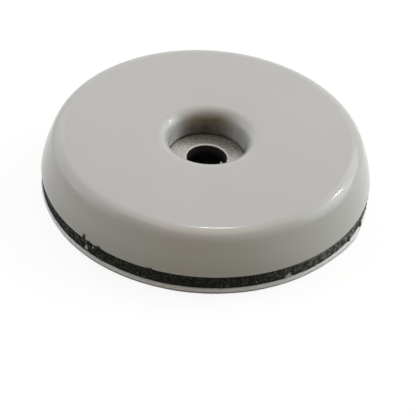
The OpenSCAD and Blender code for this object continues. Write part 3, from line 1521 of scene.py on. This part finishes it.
@dataclass
class MountingTape:
    """The tape under the cushion: a white foam carrier, its lower adhesive, and chips torn off it."""

    sizes: SliderSizes
    rows: int = 10
    hole_rows: int = 3
    rings: int = 6
    segments: int = 720
    hole_cut: float = 0.2
    ragged: float = 0.07 * MM
    grain: float = 1200.0
    squeeze: float = 0.17 * MM
    adhesive_over: float = 0.03 * MM
    bulge: Bulge = Bulge(0.16 * MM)
    seed: int = 23
    soiled_pale: Colour = (0.46, 0.46, 0.45)
    soiled_shaded: Colour = (0.2, 0.2, 0.19)
    # Pale chips of the carrier that stuck to the cushion's edge
    large_chips: Sequence[ShardRow] = (
        (228.5, 0.5, 0.1, 0.42, 0.16, 1.1, 0.0, -2.0),
        (228.8, 0.55, 0.1, 0.4, 0.16, 0.6, 0.0, 12.0),
        (232.0, 1.2, 0.12, 0.4, 0.12, 0.38, 0.0, -20.0),
        (300.6, 0.12, 0.02, 0.6, 0.12, 0.8, 0.0, 42.0),
        (302.4, 0.1, 0.02, 0.5, 0.12, 0.6, 0.0, -50.0),
    )
    chip_out: float = 0.02 * MM
    chip_ragged: float = 0.06 * MM
    chip_seed: float = 9.0
    # Strewn chips all round: how many, their rise over the cushion's foot and their sizes in
    # millimetres, and their turns in degrees
    strewn_count: int = 42
    strewn_rise: Ends = (0.02, 0.5)
    strewn_width: Ends = (0.06, 0.2)
    strewn_thick: float = 0.08
    strewn_tall: Ends = (0.06, 0.16)
    strewn_lean: Ends = (-20.0, 20.0)
    strewn_twist: Ends = (-90.0, 90.0)

    def shift(self, azimuth: float, z: float) -> float:
        """Change of the tape's radius at an azimuth, the same at every height: it sticks out at one place."""
        return self.bulge.reach(azimuth)

    def adhesive(self) -> bpy.types.Object:
        """The adhesive layer over the liner, whose edge follows the carrier's.

        Returns:
            The piece, not yet dressed.
        """
        low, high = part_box("tape_lower_adhesive")
        hole = self.sizes.soft_hole_r
        edge = high.x + self.adhesive_over
        profile = [(edge, low.z), (edge, high.z), (hole, high.z), (hole, low.z)]
        return turned_piece("adhesive_lower", profile, self.segments, [1.0, 1.0, 0.0, 0.0], self.shift)

    def carrier(self) -> bpy.types.Object:
        """The foam carrier's ring with its cut edges, which the load has squeezed outwards.

        Returns:
            The piece, not yet dressed.
        """
        low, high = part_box("tape_foam")
        tall = high.z - low.z
        steps = span(0.0, 1.0, self.rows)
        edge = [(high.x + self.squeeze * 4 * t * (1 - t), low.z + t * tall) for t in steps]
        hole = [(self.sizes.soft_hole_r, z) for z in span(high.z, low.z, self.hole_rows)]
        profile, cut = layer_outline(edge, [1.0] * len(edge), hole, self.hole_cut, self.rings)
        piece = turned_piece("tape_carrier", profile, self.segments, cut, self.shift)
        EdgeTools.apply(
            piece,
            EdgeTools.die_cut(),
            reach=(self.ragged, self.ragged, 0.0),
            grain=self.grain,
            seed=float(self.seed),
            material=TapeFoam().material(),
        )
        return piece

    def chips(self) -> list[Shard]:
        """The chips: a few large ones, and small ones strewn all round.

        Returns:
            The chips.
        """
        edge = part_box("cushion_pad")[1].x + self.chip_out
        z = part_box("cushion_pad")[0].z
        draw = random.Random(self.seed)
        strewn = [
            Shard(
                draw.uniform(0.0, FULL_TURN),
                z + draw.uniform(*self.strewn_rise) * MM,
                edge,
                draw.uniform(*self.strewn_width) * MM,
                self.strewn_thick * MM,
                draw.uniform(*self.strewn_tall) * MM,
                draw.uniform(*self.strewn_lean),
                draw.uniform(*self.strewn_twist),
            )
            for _ in range(self.strewn_count)
        ]
        return tabled_shards(self.large_chips, z, edge) + strewn

    def build(self) -> list[bpy.types.Object]:
        """Make the carrier, the adhesive over the liner, and the chips.

        Returns:
            The three pieces.
        """
        carrier = dress(self.carrier(), TapeFoam(), Body.BASE, "tape_foam")
        darkened = TapeFoam(pale=self.soiled_pale, shaded=self.soiled_shaded, kind="_soiled")
        chips = shard_piece("tape_chips", self.chips(), darkened, self.chip_ragged, self.chip_seed)
        dress(chips, darkened, Body.BASE)
        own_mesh(chips)
        lower = dress(self.adhesive(), TapeAdhesive(), Body.BASE, "tape_lower_adhesive")
        return [carrier, lower, chips]


@dataclass
class ReleaseLiner:
    """The paper disc under the tape, with a slightly wavy cut edge."""

    sizes: SliderSizes
    wave: float = 0.03 * MM
    wave_turns: float = 6.0
    wave_row: float = 4.0
    burr_share: float = 0.25
    hole_cut: float = 0.1
    bulge: Bulge = Bulge(0.38 * MM)
    segments: int = 720

    def shift(self, azimuth: float, z: float) -> float:
        """Change of the paper's radius, the same at every height: an uneven cut, and where it sticks out."""
        return self.wave * edge_noise(azimuth, self.wave_turns, self.wave_row) + self.bulge.reach(azimuth)

    def build(self) -> bpy.types.Object:
        """Turn the paper and dress it.

        Returns:
            The piece.
        """
        low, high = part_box("release_liner")
        burr = self.burr_share * (high.z - low.z)
        edge = [(high.x - burr, low.z), (high.x, low.z + burr), (high.x, high.z)]
        hole = [(self.sizes.soft_hole_r, high.z), (self.sizes.soft_hole_r, low.z)]
        cut = [1.0] * len(edge) + [self.hole_cut] * len(hole)
        piece = turned_piece("liner_paper", edge + hole, self.segments, cut, self.shift)
        return dress(piece, LinerPaper(), Body.LINER, "release_liner")


@dataclass
class InnerLayers:
    """The solids that stay as packed: the core, the film that holds it, and the tape's upper adhesive."""

    nodes: dict[str, bpy.types.Object]

    def build(self) -> None:
        """Give each solid its own finish."""
        finishes = {
            "core_ring": CorePlastic(),
            "bond_film": TapeAdhesive(),
            "tape_upper_adhesive": TapeAdhesive(),
        }
        for name, finish in finishes.items():
            coat(self.nodes[name], finish)
            LOG.info("%s: kept as packed, with %s", name, finish.label)


# Studio


@dataclass(frozen=True)
class SoftBox:
    """One soft lamp, given by where it stands and the share of the plain light that it gives the face."""

    name: str
    azimuth: float
    elevation: float
    width: float
    share: float
    colour: Colour = WHITE
    distance: float = 0.6

    def build(self, aim: Vector) -> bpy.types.Object:
        """Make the lamp and turn it to the part.

        Args:
            aim: The point that it shines on.

        Returns:
            The lamp.
        """
        a, e = math.radians(self.azimuth), math.radians(self.elevation)
        away = Vector((math.cos(a) * math.cos(e), math.sin(a) * math.cos(e), math.sin(e)))
        lamp = bpy.data.lights.new(self.name, "AREA")
        lamp.shape = "DISK"
        lamp.size = self.width
        lamp.color = self.colour
        lamp.energy = self.share * (math.pi * self.distance) ** 2 / abs(math.sin(e))
        box = new_object(self.name, lamp)
        box.location = aim + away * self.distance
        box.rotation_euler = away.to_track_quat("Z", "Y").to_euler()
        return box


@dataclass
class Studio:
    """White floor, soft light and the camera at the photograph's angle."""

    sizes: SliderSizes
    image: int = 415
    focal_px: float = 1980.6
    sensor: float = 36.0
    elevation: float = 38.07
    roll: float = 4.09
    distance_share: float = 6.0
    target_share: float = 0.1
    target_px: Point = (206.58, 160.45)
    clip: Ends = (0.01, 10.0)
    room: Colour = (1.0, 0.97, 0.86)
    room_level: float = 0.02
    floor_r: float = 1.5
    floor_drop: float = 0.01 * MM
    floor_steps: int = 128
    floor_plain: Colour = (0.78, 0.75, 0.65)
    floor_shaded: Colour = (0.14, 0.14, 0.14)
    floor_glow: float = 0.89
    inner_share: float = 0.965
    plug_share: float = 0.17
    plug_shade: Colour = (0.02, 0.02, 0.02)
    # Large soft lamps all round, two small ones that draw the edge's glints, and one under the floor
    boxes: Sequence[SoftBox] = (
        SoftBox("lamp_over", 0.0, 89.0, 0.5, 0.276, (0.99, 0.795, 0.54)),
        SoftBox("lamp_top", 87.0, 60.0, 0.042, 0.073, (0.88, 0.91, 0.98)),
        SoftBox("lamp_left", 150.0, 35.0, 0.8, 0.297, (0.86, 0.92, 1.0)),
        SoftBox("lamp_left_low", 187.0, 24.0, 0.5, 0.044, (0.86, 0.92, 1.0)),
        SoftBox("lamp_right", 29.5, 37.0, 0.028, 0.056, (0.96, 0.95, 0.96)),
        SoftBox("lamp_right_soft", 32.0, 37.0, 0.6, 0.268, (0.955, 0.965, 1.0)),
        SoftBox("lamp_right_low", 9.0, 22.0, 0.5, 0.134, (0.82, 0.94, 1.0)),
        SoftBox("lamp_back", 90.0, 35.0, 0.5, 0.036, (0.92, 0.97, 1.0)),
        SoftBox("lamp_under", 270.0, -60.0, 0.4, 0.7),
    )

    def target(self) -> Vector:
        """The point of the part that the camera was measured at."""
        return Vector((0.0, 0.0, self.target_share * 2 * self.sizes.rim_r))

    def camera(self) -> bpy.types.Object:
        """Place the camera by its angle, roll and distance, and aim it so that the part fills the frame.

        Returns:
            The camera.
        """
        e, roll = math.radians(self.elevation), math.radians(self.roll)
        back = Vector((0.0, -math.cos(e), math.sin(e)))
        level = Vector((1.0, 0.0, 0.0))
        upright = level.cross(-back)
        right = level * math.cos(roll) + upright * math.sin(roll)
        up = upright * math.cos(roll) - level * math.sin(roll)
        across = (self.target_px[0] - self.image / 2) / self.focal_px
        above = (self.image / 2 - self.target_px[1]) / self.focal_px
        ahead = (-back - right * across - up * above).normalized()
        right = (right - ahead * right.dot(ahead)).normalized()
        up = right.cross(ahead)
        lens = bpy.data.cameras.new("camera")
        lens.sensor_width = self.sensor
        lens.lens = self.focal_px / self.image * self.sensor
        lens.clip_start, lens.clip_end = self.clip
        camera = new_object("camera", lens)
        turn = Matrix((right, up, -ahead)).transposed().to_4x4()
        turn.translation = self.target() + back * self.distance_share * 2 * self.sizes.rim_r
        camera.matrix_world = turn
        bpy.context.scene.camera = camera
        return camera

    def world(self) -> None:
        """A dim room that lights the part, seen as plain white."""
        world = bpy.data.worlds.new("room")
        world.use_nodes = True
        sketch = Sketch(world.node_tree)
        sketch.tree.nodes.clear()
        path = sketch.add("ShaderNodeLightPath").outputs
        seen = sketch.math("MAXIMUM", path["Is Camera Ray"], path["Is Transmission Ray"])
        seen = sketch.math("MAXIMUM", seen, path["Is Glossy Ray"])
        room = sketch.add("ShaderNodeBackground", {"Color": opaque(self.room), "Strength": self.room_level})
        white = sketch.add("ShaderNodeBackground", {"Color": opaque(WHITE), "Strength": 1.0})
        mixed = sketch.add("ShaderNodeMixShader", {0: seen, 1: room.outputs[0], 2: white.outputs[0]})
        output = sketch.add("ShaderNodeOutputWorld")
        sketch.join(mixed.outputs[0], output.inputs["Surface"])
        bpy.context.scene.world = world

    @staticmethod
    def open_below(paint: Paint, shader: bpy.types.Node) -> bpy.types.Material:
        """Close a floor's material so that the camera sees through it from below.

        Args:
            paint: The material's node tree.
            shader: What the floor looks like from above.

        Returns:
            The finished material.
        """
        back = paint.add("ShaderNodeNewGeometry").outputs["Backfacing"]
        through = paint.times(back, paint.add("ShaderNodeLightPath").outputs["Is Camera Ray"])
        clear = paint.add("ShaderNodeBsdfTransparent")
        sides = {0: through, 1: shader.outputs[0], 2: clear.outputs[0]}
        return paint.close(paint.add("ShaderNodeMixShader", sides))

    def floor_paint(self) -> bpy.types.Material:
        """White for the camera, with a soft shadow, and see-through from below.

        Returns:
            The material.
        """
        paint = Paint("floor_white")
        path = paint.add("ShaderNodeLightPath").outputs
        seen = paint.math("MAXIMUM", path["Is Camera Ray"], path["Is Glossy Ray"])
        plain = paint.add("ShaderNodeBsdfDiffuse", {"Color": opaque(self.floor_plain)})
        shaded = paint.add("ShaderNodeBsdfDiffuse", {"Color": opaque(self.floor_shaded)})
        glow = paint.add("ShaderNodeEmission", {"Color": opaque(WHITE), "Strength": self.floor_glow})
        white = paint.add("ShaderNodeAddShader", {0: shaded.outputs[0], 1: glow.outputs[0]})
        front = paint.add("ShaderNodeMixShader", {0: seen, 1: plain.outputs[0], 2: white.outputs[0]})
        return self.open_below(paint, front)

    def plug_paint(self) -> bpy.types.Material:
        """Near-black painted shade for the floor that is seen down the screw hole, and see-through from
        below.
        """
        paint = Paint("floor_plug")
        return self.open_below(paint, paint.add("ShaderNodeBsdfDiffuse", {"Color": opaque(self.plug_shade)}))

    def floor(self) -> bpy.types.Object:
        """A round floor, open just inside the part's foot so that the underside is lit from below.

        Returns:
            The floor.
        """
        work = bmesh.new()
        angles = [2 * math.pi * k / self.floor_steps for k in range(self.floor_steps)]
        rings = []
        for r in (self.plug_share * self.sizes.rim_r, self.inner_share * self.sizes.rim_r, self.floor_r):
            points = [(r * math.cos(a), r * math.sin(a), -self.floor_drop) for a in angles]
            rings.append([work.verts.new(point) for point in points])
        plug, inner, outer = rings
        work.faces.new(plug)
        for k in range(self.floor_steps):
            n = (k + 1) % self.floor_steps
            work.faces.new((inner[k], outer[k], outer[n], inner[n]))
        mesh = bpy.data.meshes.new("floor")
        work.to_mesh(mesh)
        work.free()
        mesh.materials.append(self.floor_paint())
        mesh.materials.append(self.plug_paint())
        # The plug under the screw hole takes the painted shade
        mesh.polygons[0].material_index = 1
        floor = new_object("floor", mesh)
        return floor

    def build(self) -> None:
        """Set the stage."""
        self.camera()
        for box in self.boxes:
            box.build(self.target())
        self.world()
        self.floor()
        bpy.context.scene.view_settings.view_transform = "Standard"


def main() -> None:
    """Load the frame, read the shared sizes, build each sub-assembly and set the stage."""
    logging.basicConfig(level=logging.INFO, format="%(name)s: %(message)s")
    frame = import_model()
    sizes = SliderSizes.from_frame(frame["record"])
    GlideShell(sizes).build()
    SeatWasher(sizes).build()
    CushionPad(sizes).build()
    MountingTape(sizes).build()
    ReleaseLiner(sizes).build()
    InnerLayers(frame["nodes"]).build()
    Studio(sizes).build()


if __name__ == "__main__":
    main()
